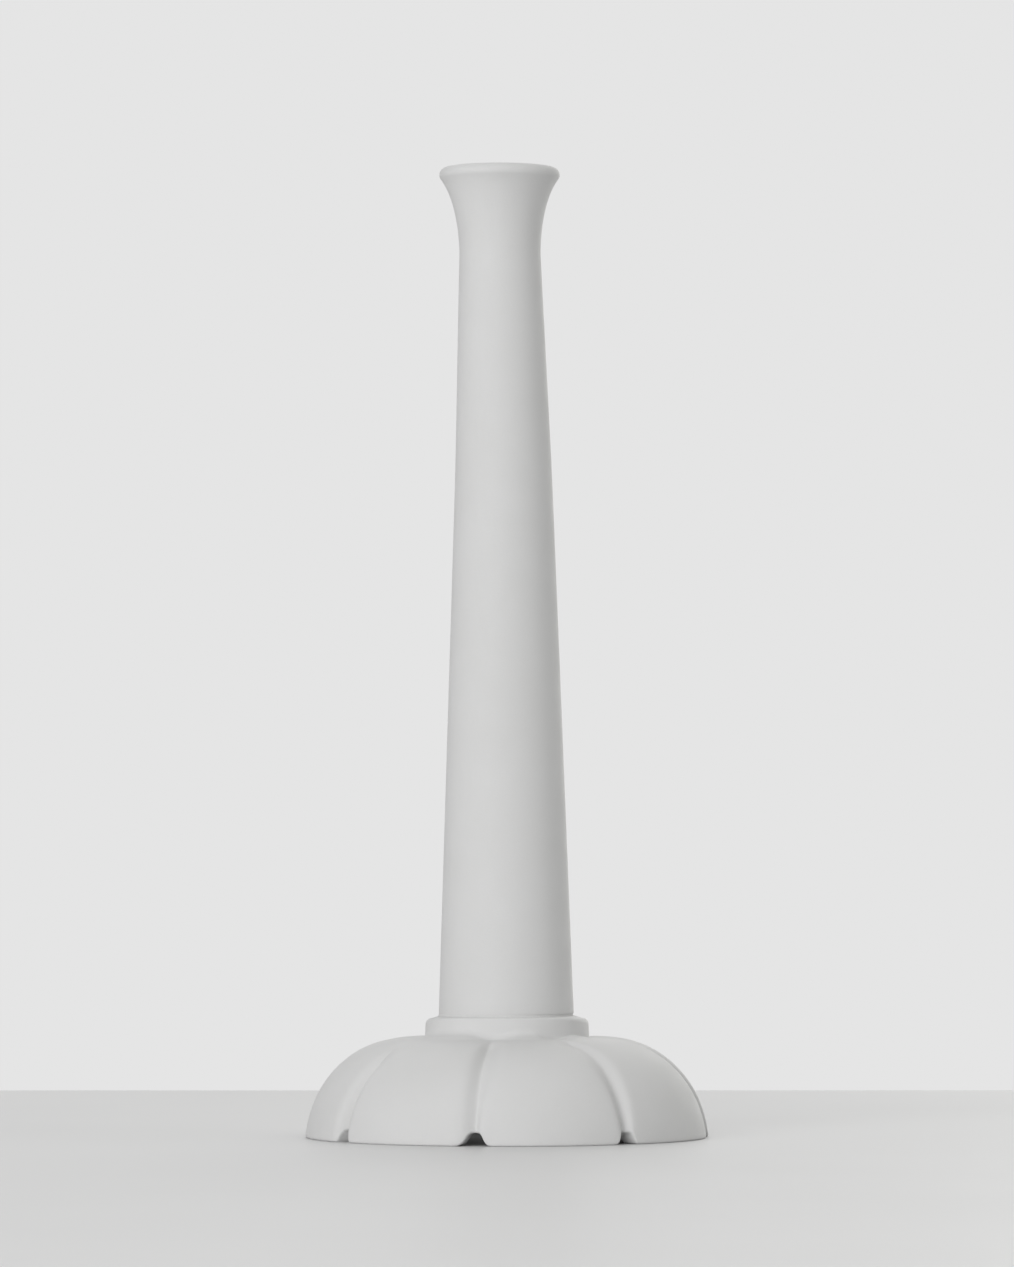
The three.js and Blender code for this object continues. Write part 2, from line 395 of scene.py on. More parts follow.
def turned_by_columns(
    sections: Sequence[list[Point]], angles: Sequence[float]
) -> bmesh.types.BMesh:
    """Turns the first of some closed sections, and moves each column of vertices to its own.

    Args:
        sections: The section of each column. All of them have as many points.
        angles: The angle of each column from +X, roughly even and rising.

    Returns:
        The mesh in millimetres.
    """
    columns = len(sections)
    mesh = turned(sections[0], columns, closed=True)
    station = mesh.verts.layers.int["station"]
    for vertex in mesh.verts:
        column = round(math.atan2(vertex.co.y, vertex.co.x) / math.tau * columns) % columns
        radius, height = sections[column][vertex[station]]
        angle = angles[column]
        vertex.co = (radius * math.cos(angle), radius * math.sin(angle), height)
    bmesh.ops.recalc_face_normals(mesh, faces=mesh.faces)
    return mesh


def turned_unevenly(section: Callable[[float], list[Point]], steps: int) -> bmesh.types.BMesh:
    """Turns a closed profile in millimetres that changes with the angle from +X."""
    angles = [math.tau * column / steps for column in range(steps)]
    return turned_by_columns([section(angle) for angle in angles], angles)


@dataclass(kw_only=True)
class Piece:
    """One piece of the vase: a mesh that stands for a node of the frame."""

    node: str
    name: str
    slot: Slot

    def shape(self) -> bmesh.types.BMesh:
        """Builds the mesh in millimetres."""
        raise NotImplementedError

    def build(self, finish: bpy.types.Material) -> bpy.types.Object:
        """Builds the piece, dresses it and seats it on the frame.

        Args:
            finish: The material of the whole piece.

        Returns:
            The object, which rides on the vase's body.
        """
        shaped = self.shape()
        bmesh.ops.scale(shaped, vec=(MM, MM, MM), verts=shaped.verts)
        mesh = bpy.data.meshes.new(self.name)
        shaped.to_mesh(mesh)
        shaped.free()
        mesh.shade_smooth()
        mesh.set_sharp_from_angle(angle=SHARP_ANGLE)
        mesh.materials.append(finish)
        piece = bpy.data.objects.new(self.name, mesh)
        bpy.context.scene.collection.objects.link(piece)
        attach(piece, BODY)
        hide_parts(self.node)
        LOG.info("%s stands for %s, with %d faces", self.name, self.node, len(mesh.polygons))
        return piece


@dataclass(frozen=True)
class KilnWarp:
    """How far the long stem drew to one side in the kiln, in millimetres.

    It stands a hair off the middle of its collar, leans a little, and bends to the same side near
    its neck.
    """

    towards_degrees: float = 166.7
    seat_shift: float = 0.21
    lean: float = math.tan(math.radians(0.25))
    bend: float = 0.7
    bend_start: float = 160.0
    bend_end: float = 240.0

    def shift(self, height: float, seat: float) -> Vector:
        """Gives how far the stem has drawn aside.

        Args:
            height: The height of the place.
            seat: The height at which the stem starts.

        Returns:
            The level shift at that place.
        """
        share = ease((height - self.bend_start) / (self.bend_end - self.bend_start))
        angle = math.radians(self.towards_degrees)
        amount = self.seat_shift + self.lean * (height - seat) + self.bend * share
        return Vector((math.cos(angle), math.sin(angle), 0.0)) * amount


@dataclass(kw_only=True)
class Stem(Piece):
    """The tall tapered tube with its flared mouth and half-round lip."""

    extent: Extent
    plug: Extent
    node: str = "stem"
    name: str = "stem_tube"
    slot: Slot = Slot.PORCELAIN
    warp: KilnWarp = KilnWarp()
    wall: float = 3.2
    neck_radius: float = 10.5
    flare_rise: float = 22.0
    flare_spread: float = 8.65
    flare_end: float = math.radians(62.7)
    lip_radius: float = 1.85
    edge_round: float = 0.5
    recess_clearance: float = 0.3
    steps: int = 256
    taper_steps: int = 64
    flare_steps: int = 22
    lip_steps: int = 26
    edge_steps: int = 6

    def flare_point(self, neck_height: float, angle: float, inwards: float) -> Point:
        """Gives a point of the quarter ellipse of the flare, pushed inwards along its normal.

        Args:
            neck_height: The height at which the flare starts.
            angle: How far up the ellipse the point is.
            inwards: How far it is pushed.

        Returns:
            Its radius and height.
        """
        across, along = self.flare_rise * math.cos(angle), -self.flare_spread * math.sin(angle)
        length = math.hypot(across, along)
        radius = self.neck_radius + self.flare_spread * (1.0 - math.cos(angle))
        height = neck_height + self.flare_rise * math.sin(angle)
        return (radius - inwards * across / length, height - inwards * along / length)

    def profile(self) -> list[Point]:
        """Works out the section of the wall.

        Returns:
            The closed section, up the outside and down the bore.
        """
        lip_start = -math.atan2(
            self.flare_spread * math.sin(self.flare_end), self.flare_rise * math.cos(self.flare_end)
        )
        neck_height = (
            self.extent.top
            - self.lip_radius * (1.0 - math.sin(lip_start))
            - self.flare_rise * math.sin(self.flare_end)
        )
        bottom, foot_radius = self.extent.bottom, self.extent.radius
        edge = lower_edge(foot_radius, bottom, self.edge_round, self.edge_steps)
        taper = steps_between(edge[-1], (self.neck_radius, neck_height), self.taper_steps)
        shares = [index / self.flare_steps for index in range(self.flare_steps + 1)]
        flare = [self.flare_point(neck_height, self.flare_end * share, 0.0) for share in shares[1:]]
        lip = round_corner(
            self.flare_point(neck_height, self.flare_end, self.lip_radius),
            self.lip_radius,
            lip_start,
            lip_start + math.pi,
            self.lip_steps,
        )
        inner_flare = [
            self.flare_point(
                neck_height, self.flare_end * share, blend(self.wall, 2.0 * self.lip_radius, share)
            )
            for share in reversed(shares)
        ]
        floor = self.plug.top
        taper_share = (floor - bottom) / (neck_height - bottom)
        bore_foot = (blend(foot_radius, self.neck_radius, taper_share) - self.wall, floor)
        recess_radius = self.plug.radius + self.recess_clearance
        bore = steps_between(inner_flare[-1], bore_foot, self.taper_steps)
        ledge = steps_between(bore_foot, (recess_radius, floor), 2)
        recess = steps_between(ledge[-1], (recess_radius, bottom), 4)
        underside = steps_between(recess[-1], edge[0], 3)
        outside = [*edge, *taper, *flare, *lip[1:-1]]
        return [*outside, *inner_flare, *bore[:-1], *ledge, *recess, *underside[:-1]]

    def shape(self) -> bmesh.types.BMesh:
        """Turns the tube, and lets it draw to one side.

        Returns:
            The mesh in millimetres.
        """
        mesh = turned(self.profile(), self.steps, closed=True)
        for vertex in mesh.verts:
            vertex.co += self.warp.shift(vertex.co.z, self.extent.bottom)
        return mesh


@dataclass(kw_only=True)
class StemFloor(Piece):
    """The plug that closes the tube, with the spigot that centres it in the collar."""

    extent: Extent
    stem_bottom: float
    spigot_radius: float = 11.0
    node: str = "stem_floor"
    name: str = "stem_floor_plug"
    slot: Slot = Slot.PORCELAIN
    edge_round: float = 0.5
    dish: float = 0.35
    steps: int = 128
    rings: int = 8

    def shape(self) -> bmesh.types.BMesh:
        """Turns the plug, with a floor that is slightly dished.

        Returns:
            The mesh in millimetres.
        """
        bottom, top, radius = self.extent.bottom, self.extent.top, self.extent.radius
        spigot_edge = lower_edge(self.spigot_radius, bottom, self.edge_round, EDGE_STEPS)
        floor = [
            (radius * share, top - self.dish * (1.0 - share * share))
            for share in (1.0 - index / self.rings for index in range(self.rings + 1))
        ]
        profile = [
            *steps_between((0.0, bottom), spigot_edge[0], 4)[:-1],
            *spigot_edge,
            *steps_between(spigot_edge[-1], (self.spigot_radius, self.stem_bottom), 4),
            *steps_between((self.spigot_radius, self.stem_bottom), (radius, self.stem_bottom), 3),
            *steps_between((radius, self.stem_bottom), (radius, top), 3)[:-1],
            *floor,
        ]
        return turned([(0.0, bottom), *profile], self.steps, closed=False)


@dataclass(kw_only=True)
class Collar(Piece):
    """The low ring under the stem, with a spigot into the foot.

    Slip was wiped round its base by hand. It runs out over the crown of the foot as a low ramp,
    thinner where the grooves come in, and is highest in front. The hollow at its upper end is soft
    on the left and tight on the right. The collar's top is flattest in front, with the tightest
    edge. A pair holds the two ends of a size that changes with the angle.
    """

    extent: Extent
    foot_top: float
    stem_radius: float
    gaps: Sequence[float]
    node: str = "collar"
    name: str = "collar_ring"
    slot: Slot = Slot.PORCELAIN
    side_radius: float = 21.0
    batter: float = 0.15
    front_degrees: float = -103.0
    soft_degrees: float = -128.0
    soft_reach: float = 0.5
    soft_fade: float = 0.25
    shoulder: tuple[float, float] = (1.6, 0.6)
    top_fall: tuple[float, float] = (0.65, 0.0)
    slip_reach: tuple[float, float] = (0.8, 6.5)
    slip_rise: tuple[float, float] = (0.1, 1.8)
    slip_degrees: float = -108.0
    slip_curve: float = 1.4
    cove_width: tuple[float, float] = (0.3, 1.6)
    cove_height: tuple[float, float] = (0.3, 1.3)
    toe_depth: tuple[float, float] = (0.12, 0.6)
    gap_width: float = 7.0
    gap_share: float = 0.4
    spigot_radius: float = 15.0
    bore_radius: float = 11.3
    recess_radius: float = 19.6
    recess_height: float = 0.4
    edge_round: float = 0.4
    steps: int = 384
    shoulder_steps: int = 14
    slip_steps: int = 10
    cove_steps: int = 10

    def shoulder_at(self, angle: float) -> tuple[Point, float]:
        """Gives the arc of the shoulder.

        Args:
            angle: The direction, from +X.

        Returns:
            Its centre and its radius.
        """
        flat = facing(angle, self.front_degrees)
        radius = blend(*self.shoulder, flat)
        height = self.extent.top - blend(*self.top_fall, flat) - radius
        return (self.side_radius - radius, height), radius

    def top_slope(self, angle: float) -> float:
        """Gives the angle by which the top falls outwards, at an angle from +X."""
        (middle, height), radius = self.shoulder_at(angle)
        return math.atan2(self.extent.top - height - radius, middle - self.stem_radius)

    def slip_share_at(self, angle: float) -> float:
        """Gives 1 between the grooves, and the gap's share in the middle of one, from +X."""
        apart = min(abs(math.remainder(angle - gap, math.tau)) for gap in self.gaps)
        return blend(self.gap_share, 1.0, ease(apart * self.side_radius / self.gap_width))

    def soft_at(self, angle: float) -> float:
        """Gives 1 where the slip's hollow is soft and 0 where it is tight, at an angle from +X."""
        towards = math.cos(angle - math.radians(self.soft_degrees))
        return ease((towards - self.soft_reach) / self.soft_fade + 0.5)

    def slip(self, angle: float) -> list[Point]:
        """Gives the surface of the slip round the base.

        Args:
            angle: The direction, from +X.

        Returns:
            The points from its toe in the foot up to the collar's side.
        """
        between_grooves, soft = self.slip_share_at(angle), self.soft_at(angle)
        reach = blend(*self.slip_reach, between_grooves)
        rise = blend(*self.slip_rise, facing(angle, self.slip_degrees)) * between_grooves
        wall = self.side_radius + self.batter
        base = self.foot_top - blend(*reversed(self.toe_depth), between_grooves)
        width = min(reach, blend(*self.cove_width, soft))
        cove = hollow((wall, base), width, blend(*self.cove_height, soft), self.cove_steps)
        toe = (wall + reach, base)
        return [
            (radius, height + rise * max(0.0, 1.0 - (radius - wall) / reach) ** self.slip_curve)
            for radius, height in (toe, *steps_between(toe, cove[0], self.slip_steps)[:-1], *cove)
        ]

    def profile(self, angle: float) -> list[Point]:
        """Works out the section of the ring.

        Args:
            angle: The direction, from +X.

        Returns:
            The closed section, up the outside from the bore's foot.
        """
        bottom, top = self.extent.bottom, self.extent.top
        slip = self.slip(angle)
        centre, radius = self.shoulder_at(angle)
        shoulder = round_corner(centre, radius, 0.0, RIGHT_ANGLE, self.shoulder_steps)
        spigot_edge = lower_edge(self.spigot_radius, bottom, self.edge_round, EDGE_STEPS)
        bore_edge = round_corner(
            (self.bore_radius + self.edge_round, bottom + self.edge_round),
            self.edge_round,
            -math.pi,
            -RIGHT_ANGLE,
            EDGE_STEPS,
        )
        recess_roof = self.foot_top + self.recess_height
        return [
            *bore_edge,
            *steps_between(bore_edge[-1], spigot_edge[0], 3)[:-1],
            *spigot_edge,
            *steps_between(spigot_edge[-1], (self.spigot_radius, recess_roof), 3),
            *steps_between((self.spigot_radius, recess_roof), (self.recess_radius, recess_roof), 3),
            (self.recess_radius, self.foot_top),
            *slip,
            *steps_between(slip[-1], shoulder[0], 5)[:-1],
            *shoulder,
            *steps_between(shoulder[-1], (self.stem_radius, top), 6),
            *steps_between((self.stem_radius, top), (self.bore_radius, top), 4),
            *steps_between((self.bore_radius, top), bore_edge[0], 5)[:-1],
        ]

    def shape(self) -> bmesh.types.BMesh:
        """Turns the ring, with the slip spread unevenly round its base."""
        return turned_unevenly(self.profile, self.steps)


@dataclass(kw_only=True)
class LowerBed(Piece):
    """The ring of joint compound between the foot and the collar, out of sight in its recess."""

    extent: Extent
    node: str = "collar_joint_bed"
    name: str = "lower_bed"
    slot: Slot = Slot.JOINT_COMPOUND
    inner_radius: float = 15.3
    steps: int = 192
    bulge_steps: int = 6

    def shape(self) -> bmesh.types.BMesh:
        """Turns the ring, with half-round edges.

        Returns:
            The mesh in millimetres.
        """
        half = (self.extent.top - self.extent.bottom) / 2.0
        middle = self.extent.bottom + half
        outer = round_corner(
            (self.extent.radius - half, middle), half, -RIGHT_ANGLE, RIGHT_ANGLE, self.bulge_steps
        )
        inner = round_corner(
            (self.inner_radius + half, middle),
            half,
            RIGHT_ANGLE,
            3.0 * RIGHT_ANGLE,
            self.bulge_steps,
        )
        return turned([*outer, *inner], self.steps, closed=True)


@dataclass(kw_only=True)
class UpperBed(Piece):
    """The ring of joint compound under the stem.

    It was wiped to a small hollow fillet round the joint, and has sunk back a little on one side.
    """

    extent: Extent
    stem_radius: float
    seat_shift: Vector
    ring: Collar
    node: str = "stem_joint_bed"
    name: str = "upper_bed"
    slot: Slot = Slot.JOINT_COMPOUND
    inner_radius: float = 11.3
    fillet_width: float = 0.35
    fillet_height: float = 1.15
    overlap: float = 0.04
    hidden_ledge: float = 0.5
    sunk_back: float = 0.3
    sunk_towards_degrees: float = -30.0
    sunk_sharpness: float = 1.5
    steps: int = 256
    fillet_steps: int = 10

    def sunk_at(self, angle: float) -> float:
        """Gives how far the fillet has gone at an angle from +X, from 0 to 1."""
        share = 0.5 + 0.5 * math.cos(angle - math.radians(self.sunk_towards_degrees))
        return ease((share - 0.5) * self.sunk_sharpness)

    def profile(self, angle: float) -> list[Point]:
        """Works out the section of the bed.

        Args:
            angle: The direction, from +X.

        Returns:
            The closed section, up its outer edge.
        """
        bottom, top = self.extent.bottom, self.extent.top
        sunk, slope = self.sunk_at(angle), self.ring.top_slope(angle)
        toe_fall = self.fillet_width * math.tan(slope) + self.overlap
        corner = (self.stem_radius - self.overlap, bottom - toe_fall)
        width = self.fillet_width + self.overlap
        full = hollow(corner, width, self.fillet_height, self.fillet_steps)
        wall_radius = self.stem_radius - self.sunk_back
        wall = steps_between((wall_radius, bottom), (wall_radius, top), len(full))
        edge = [(blend(a[0], b[0], sunk), blend(a[1], b[1], sunk)) for a, b in zip(full, wall)]
        ledge = wall_radius - self.hidden_ledge
        under, over = (ledge, bottom), (ledge, top)
        return [(self.inner_radius, bottom), under, *edge, over, (self.inner_radius, top)]

    def shape(self) -> bmesh.types.BMesh:
        """Turns the ring with its uneven edge, under the stem's own middle.

        Returns:
            The mesh in millimetres.
        """
        mesh = turned_unevenly(self.profile, self.steps)
        bmesh.ops.translate(mesh, vec=self.seat_shift, verts=mesh.verts)
        return mesh


@dataclass(frozen=True)
class Course:
    """A value that changes smoothly down the dome, drawn towards a middle value on its way."""

    top: float
    middle: float
    rim: float

    def at(self, fall: float) -> float:
        """Gives the value where the dome has a fall from 0 at its top to 1 where it is upright."""
        return blend(blend(self.top, self.middle, fall), blend(self.middle, self.rim, fall), fall)


@dataclass(frozen=True)
class Notch:
    """The arched notch where a groove meets the rim, splayed at its foot, in millimetres.

    Args:
        height: How high it is.
        place: How far it lies beside the groove's middle plane, to the right seen from outside.
        left: How far its left side is from its middle, at half its height.
        right: How far its right side is from its middle, at half its height.
        steepness: How upright its sides are.
        tail: How much of its height the splayed foot takes.
        inner_share: How high its inner edge is, as a share of its outer edge.
    """

    height: float = 3.25
    place: float = 0.0
    left: float = 2.2
    right: float = 2.2
    steepness: float = 5.0
    tail: float = 0.06
    inner_share: float = 0.8

    def lift(self, across: float) -> float:
        """Gives how high the rim is raised.

        Args:
            across: The distance to the right of the groove's middle plane.

        Returns:
            The height of the rim there.
        """
        aside = across - self.place
        half_width = self.left if aside < 0.0 else self.right
        bell = (1.0 + self.tail) / (1.0 + abs(aside / half_width) ** self.steepness) - self.tail
        return self.height * max(0.0, bell)


@dataclass(frozen=True)
class Groove:
    """A narrow groove between two lobes, from the collar down to the rim, in millimetres.

    Args:
        turn: How far its place differs from an even spacing, in degrees.
        head: The radii between which it starts and has come to its depth.
        drift: How far its bottom lies beside its middle plane, to the right seen from outside.
        depth: How deep it is.
        left: How wide its left flank is.
        right: How wide its right flank is.
        shape: How square the flanks are.
        notch: The notch at its foot.
    """

    turn: float = 0.0
    head: tuple[float, float] = (21.8, 27.0)
    drift: Course = Course(0.0, 0.0, 0.0)
    depth: Course = Course(0.9, 1.5, 2.1)
    left: Course = Course(2.5, 2.1, 1.7)
    right: Course = Course(2.5, 2.1, 1.7)
    shape: float = 1.7
    notch: Notch = Notch()

    def sink(self, radius: float, offset: float, fall: float, widening: float) -> float:
        """Gives how deep the groove is.

        Args:
            radius: The distance from the axis.
            offset: The angle from its middle plane, positive to the right.
            fall: 0 at the top of the dome, 1 where it stands upright.
            widening: How much wider it is than on the outside.

        Returns:
            The depth at that place.
        """
        start, end = self.head
        depth = self.depth.at(fall) * ease((radius - start) / (end - start))
        aside = radius * offset - self.drift.at(fall)
        flank = self.left if aside < 0.0 else self.right
        return depth * math.exp(-((abs(aside) / (flank.at(fall) + widening)) ** self.shape))


GROOVES = (
    Groove(
        turn=-0.39,
        head=(26.4, 30.4),
        drift=Course(-2.2, 1.57, 0.52),
        depth=Course(1.0, 1.25, 2.15),
        left=Course(5.06, 4.52, 1.13),
        right=Course(0.5, 3.46, 1.05),
        shape=1.77,
        notch=Notch(
            height=2.93,
            place=0.76,
            left=2.3,
            right=2.13,
            steepness=7.5,
            tail=0.005,
            inner_share=0.6,
        ),
    ),
    Groove(
        turn=4.4,
        drift=Course(0.0, 0.0, 1.17),
        depth=Course(0.9, 1.5, 3.0),
        left=Course(2.5, 3.1, 2.5),
        right=Course(2.5, 2.1, 0.6),
    ),
    Groove(turn=3.6),
    Groove(turn=2.7),
    Groove(turn=1.8),
    Groove(turn=0.9),
    Groove(
        turn=0.36,
        head=(33.2, 44.5),
        drift=Course(0.45, 0.23, -0.3),
        depth=Course(0.64, 1.18, 3.0),
        left=Course(1.1, 1.39, 2.1),
        right=Course(3.61, 1.39, 1.35),
        shape=1.79,
        notch=Notch(
            height=3.02,
            place=0.43,
            left=3.1,
            right=1.83,
            steepness=8.6,
            tail=0.14,
            inner_share=0.35,
        ),
    ),
    Groove(
        turn=0.33,
        head=(24.3, 32.7),
        drift=Course(0.3, -0.52, -0.16),
        depth=Course(1.26, 3.14, 1.76),
        left=Course(0.5, 2.5, 2.5),
        right=Course(1.83, 4.5, 0.64),
        shape=1.71,
        notch=Notch(place=-0.15, left=2.7, right=2.15, tail=0.03, inner_share=0.95),
    ),
)


@dataclass(frozen=True)
class Cut:
    """An upright half plane through the foot.

    Args:
        angle: Its angle round the axis, from -Y.
        groove: The nearest groove.
        offset: Its angle from the middle plane of that groove, positive to the right.
        share: That offset as a share of the way to the middle of the lobe.
    """

    angle: float
    groove: Groove
    offset: float
    share: float


@dataclass(kw_only=True)
class Foot(Piece):
    """The hollow dome of lobes that carries the vase and is open beneath.

    Its section is turned about the axis, and each column of vertices is then moved to the section
    of the lobed dome at its own angle, with the columns crowded towards the grooves. The section is
    a quarter ellipse, made a touch fuller by a power just under 1.
    """

    extent: Extent
    rim_radius: float = 52.04
    node: str = "foot"
    name: str = "lobed_foot"
    slot: Slot = Slot.PORCELAIN
    grooves: tuple[Groove, ...] = GROOVES
    shoulder_radius: float = 25.7
    centre_drop: float = 2.9
    section_power: float = 0.98
    wall: float = 4.5
    lobe_sag: float = 0.4
    crown_reach: float = 30.0
    rim_round: float = 0.6
    inner_round: float = 0.5
    bore_radius: float = 15.3
    bore_chamfer: float = 0.3
    inner_widening: float = 2.2
    columns: int = 512
    crowding: float = 2.8
    dome_steps: int = 52
    inner_steps: int = 24
    crown_steps: int = 14
    edge_steps: int = 6

    def sink(self, radius: float, cut: Cut, fall: float, widening: float = 0.0) -> float:
        """Gives how far a skin lies under the round dome, along the dome's normal."""
        sag = self.lobe_sag * fall * (1.0 - abs(cut.share)) ** 2
        return sag + cut.groove.sink(radius, cut.offset, fall, widening)

    def meridian(
        self, cut: Cut, depth: float, widening: float, end_height: float, count: int
    ) -> list[Point]:
        """Gives the points down one skin, from the shoulder of the dome to the given height.

        Args:
            cut: The upright plane of the section.
            depth: How deep the skin lies under the outside.
            widening: How much wider the grooves are on it.
            end_height: The height of its last point.
            count: How many steps it has.

        Returns:
            The points, from the top.
        """
        power = self.section_power
        rise = self.extent.top + self.centre_drop
        base = math.acos((self.centre_drop / rise) ** (1.0 / power))
        spread = (self.rim_radius - self.shoulder_radius) / math.sin(base) ** power
        skin_rise, skin_spread = rise - depth, spread - depth
        end = math.acos(((self.centre_drop + end_height) / skin_rise) ** (1.0 / power))
        points = []
        for index in range(count + 1):
            angle = end * index / count
            fall = math.sin(angle)
            rest = math.cos(angle)
            radius = self.shoulder_radius + skin_spread * fall**power
            sink = self.sink(radius, cut, fall, widening)
            across = fall ** (2.0 - power) / skin_spread
            up = rest ** (2.0 - power) / skin_rise
            length = math.hypot(across, up)
            height = skin_rise * rest**power - self.centre_drop - sink * up / length
            points.append((radius - sink * across / length, height))
        points[-1] = (points[-1][0], end_height)
        return points

    def section(self, cut: Cut) -> list[Point]:
        """Works out the section of the foot.

        Args:
            cut: The upright plane of the section.

        Returns:
            The closed section, from the bore over the dome to the rim and back inside.
        """
        top = self.extent.top
        lift = cut.groove.notch.lift(self.rim_radius * cut.offset)
        inner_lift = lift * cut.groove.notch.inner_share
        outer = self.meridian(cut, 0.0, 0.0, lift + self.rim_round, self.dome_steps)
        inner = self.meridian(
            cut, self.wall, self.inner_widening, inner_lift + self.inner_round, self.inner_steps
        )
        bore_edge = self.bore_radius + self.bore_chamfer
        crown_radii = (
            blend(bore_edge, self.shoulder_radius, index / self.crown_steps)
            for index in range(self.crown_steps)
        )
        crown = [(radius, top - self.sink(radius, cut, 0.0)) for radius in crown_radii]
        rim_edge = round_corner(
            (outer[-1][0] - self.rim_round, lift + self.rim_round),
            self.rim_round,
            0.0,
            -RIGHT_ANGLE,
            self.edge_steps,
        )
        inner_edge = round_corner(
            (inner[-1][0] + self.inner_round, inner_lift + self.inner_round),
            self.inner_round,
            -RIGHT_ANGLE,
            -math.pi,
            self.edge_steps,
        )
        crown_under = (bore_edge, top - self.wall)
        return [
            (self.bore_radius, top - self.wall + self.bore_chamfer),
            (self.bore_radius, top - self.bore_chamfer),
            *crown,
            *outer,
            *rim_edge[1:],
            *steps_between(rim_edge[-1], inner_edge[0], 4)[:-1],
            *inner_edge[:-1],
            *reversed(inner),
            *steps_between(inner[0], crown_under, 5),
        ]

    def groove_angle(self, index: int) -> float:
        """Gives the angle of a groove's middle plane round the axis, from -Y."""
        count = len(self.grooves)
        return (index + 0.5) * math.tau / count + math.radians(self.grooves[index % count].turn)

    def open_grooves(self) -> list[float]:
        """Finds the grooves that come in as far as the crown.

        Returns:
            Their angles from +X.
        """
        return [
            self.groove_angle(index) - RIGHT_ANGLE
            for index, groove in enumerate(self.grooves)
            if groove.head[0] < self.crown_reach
        ]

    def cuts(self) -> list[Cut]:
        """Spreads the columns round the foot, crowded towards the grooves.

        Returns:
            The upright plane of each column.
        """
        half_columns = self.columns // len(self.grooves) // 2
        found = []
        for index, groove in enumerate(self.grooves):
            middle = self.groove_angle(index)
            halves = (
                (middle - self.groove_angle(index - 1)) / 2.0,
                (self.groove_angle(index + 1) - middle) / 2.0,
            )
            for step in range(-half_columns, half_columns):
                share = math.sinh(self.crowding * step / half_columns) / math.sinh(self.crowding)
                offset = share * (halves[0] if step < 0 else halves[1])
                found.append(Cut(middle + offset, groove, offset, share))
        return found

    def shape(self) -> bmesh.types.BMesh:
        """Turns a section, and moves each column to the section in its own plane.

        Returns:
            The mesh in millimetres.
        """
        cuts = self.cuts()
        sections = [self.section(cut) for cut in cuts]
        return turned_by_columns(sections, [cut.angle - RIGHT_ANGLE for cut in cuts])


@dataclass(frozen=True)
class Viewpoint:
    """Where the photograph was taken from, and its frame in pixels. Lengths are in metres."""

    width: float = 1014.0
    height: float = 1267.0
    focal: float = 6406.0
    azimuth: float = math.radians(-13.3)
    roll: float = math.radians(0.03)
    distance: float = 1.6519
    eye_height: float = 0.0805
    eye_line: float = 823.8
    base_column: float = 507.2
    base_row: float = 1135.3
    sensor: float = 36.0

    @property
    def towards_camera(self) -> Vector:
        """The level direction from the vase to the camera."""
        return Vector((math.sin(self.azimuth), -math.cos(self.azimuth), 0.0))

    @property
    def rightwards(self) -> Vector:
        """The level direction to the right of the picture."""
        return Vector((math.cos(self.azimuth), math.sin(self.azimuth), 0.0))

    def matrix(self) -> Matrix:
        """Gives the camera's place and turn. The foot's middle keeps its column despite the roll.

        Returns:
            The camera's world matrix.
        """
        pitch = math.atan((self.eye_line - self.height / 2.0) / self.focal)
        swing = (self.base_row - self.height / 2.0) * math.sin(self.roll)
        aim = math.atan((self.base_column - self.width / 2.0 - swing) / self.focal)
        eye = self.towards_camera * self.distance + Vector((0.0, 0.0, self.eye_height))
        turn = Matrix.Rotation(self.azimuth + aim, 4, "Z")
        tilt = Matrix.Rotation(RIGHT_ANGLE + pitch, 4, "X")
        return Matrix.Translation(eye) @ turn @ tilt @ Matrix.Rotation(-self.roll, 4, "Z")

    def on_table(self, x: float, y: float) -> Vector:
        """Finds what is seen of the table at a place in the photograph.

        Args:
            x: The column, in pixels.
            y: The row, in pixels.

        Returns:
            The point of the table.
        """
        matrix = self.matrix()
        ray = matrix.to_3x3() @ Vector((x - self.width / 2.0, self.height / 2.0 - y, -self.focal))
        return matrix.translation - ray * (matrix.translation.z / ray.z)

    def build(self) -> bpy.types.Object:
        """Makes the scene's camera.

        Returns:
            The camera's object.
        """
        lens = bpy.data.cameras.new("photograph_view")
        lens.sensor_fit = "AUTO"
        lens.sensor_width = self.sensor
        lens.lens = self.sensor * self.focal / self.height
        camera = bpy.data.objects.new("photograph_view", lens)
        bpy.context.scene.collection.objects.link(camera)
        camera.matrix_world = self.matrix()
        bpy.context.scene.camera = camera
        return camera


@dataclass(frozen=True)
class Lamp:
    """A square soft box that faces the vase. Lengths are in metres."""

    name: str
    azimuth_degrees: float
    elevation_degrees: float
    watts: float
    distance: float = 2.3
    size: float = 1.6
    warmth: float = 0.0

    def build(self, view: Viewpoint, target: Vector) -> bpy.types.Object:
        """Makes the lamp.

        Args:
            view: The viewpoint, from whose direction the azimuth counts, to the right.
            target: The point that the lamp faces.

        Returns:
            The lamp's object.
        """
        azimuth = math.radians(self.azimuth_degrees)
        elevation = math.radians(self.elevation_degrees)
        level = view.towards_camera * math.cos(azimuth) + view.rightwards * math.sin(azimuth)
        away = level * math.cos(elevation) + Vector((0.0, 0.0, math.sin(elevation)))
        light = bpy.data.lights.new(self.name, "AREA")
        light.shape = "SQUARE"
        light.size = self.size
        light.energy = self.watts
        light.color = grey(1.0, self.warmth)[:3]
        lamp = bpy.data.objects.new(self.name, light)
        bpy.context.scene.collection.objects.link(lamp)
        lamp.location = target + away * self.distance
        lamp.rotation_euler = (-away).to_track_quat("-Z", "Y").to_euler()
        return lamp


